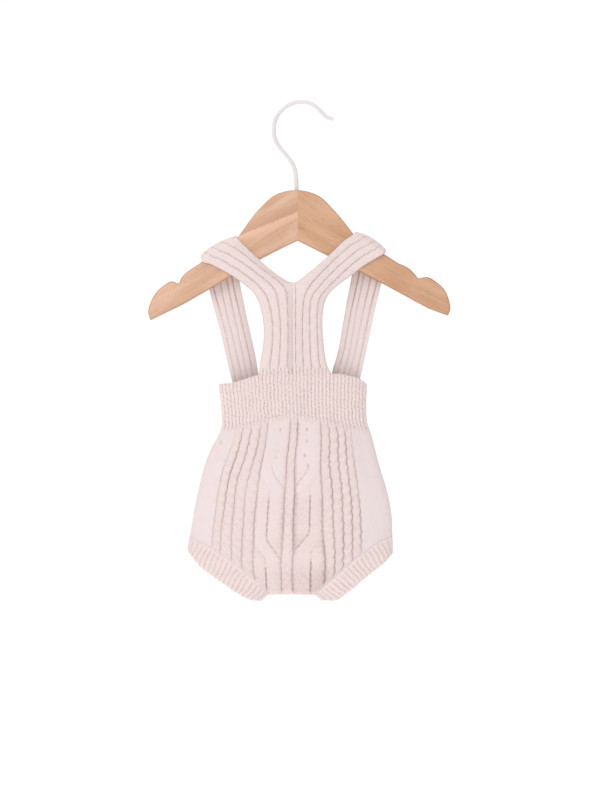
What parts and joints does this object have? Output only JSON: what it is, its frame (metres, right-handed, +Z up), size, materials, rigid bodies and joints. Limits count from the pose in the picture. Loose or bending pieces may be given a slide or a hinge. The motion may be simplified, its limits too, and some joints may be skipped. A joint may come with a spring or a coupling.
{
  "type": "knitted baby suspender shorts on a wooden hanger",
  "caption": "Cable-knit baby shorts with ribbed waistband and leg bands and a ribbed bib that parts into straps, hung over a small wooden hanger with a wire hook.",
  "frame": {"origin": "underside of the hook's crown, where a peg or a rail carries the hanger", "axes": "+Z up, the cabled front of the shorts faces -Y, +X to the right as seen from the front"},
  "size_m": [0.3025, 0.0395, 0.5017],
  "materials": {
    "knit": "pale pink cotton knit, matt",
    "wood": "clear satin varnish on beech",
    "wire": "white coat, semi-gloss"
  },
  "bodies": {
    "root": {"front_panel": "knit", "back_panel": "knit", "waistband_front": "knit", "waistband_back": "knit", "leg_band_left": "knit", "leg_band_right": "knit", "strap_left": "knit", "strap_right": "knit", "hanger_arm_left": "wood", "hanger_arm_right": "wood", "hook": "wire"}
  },
  "joints": []
}
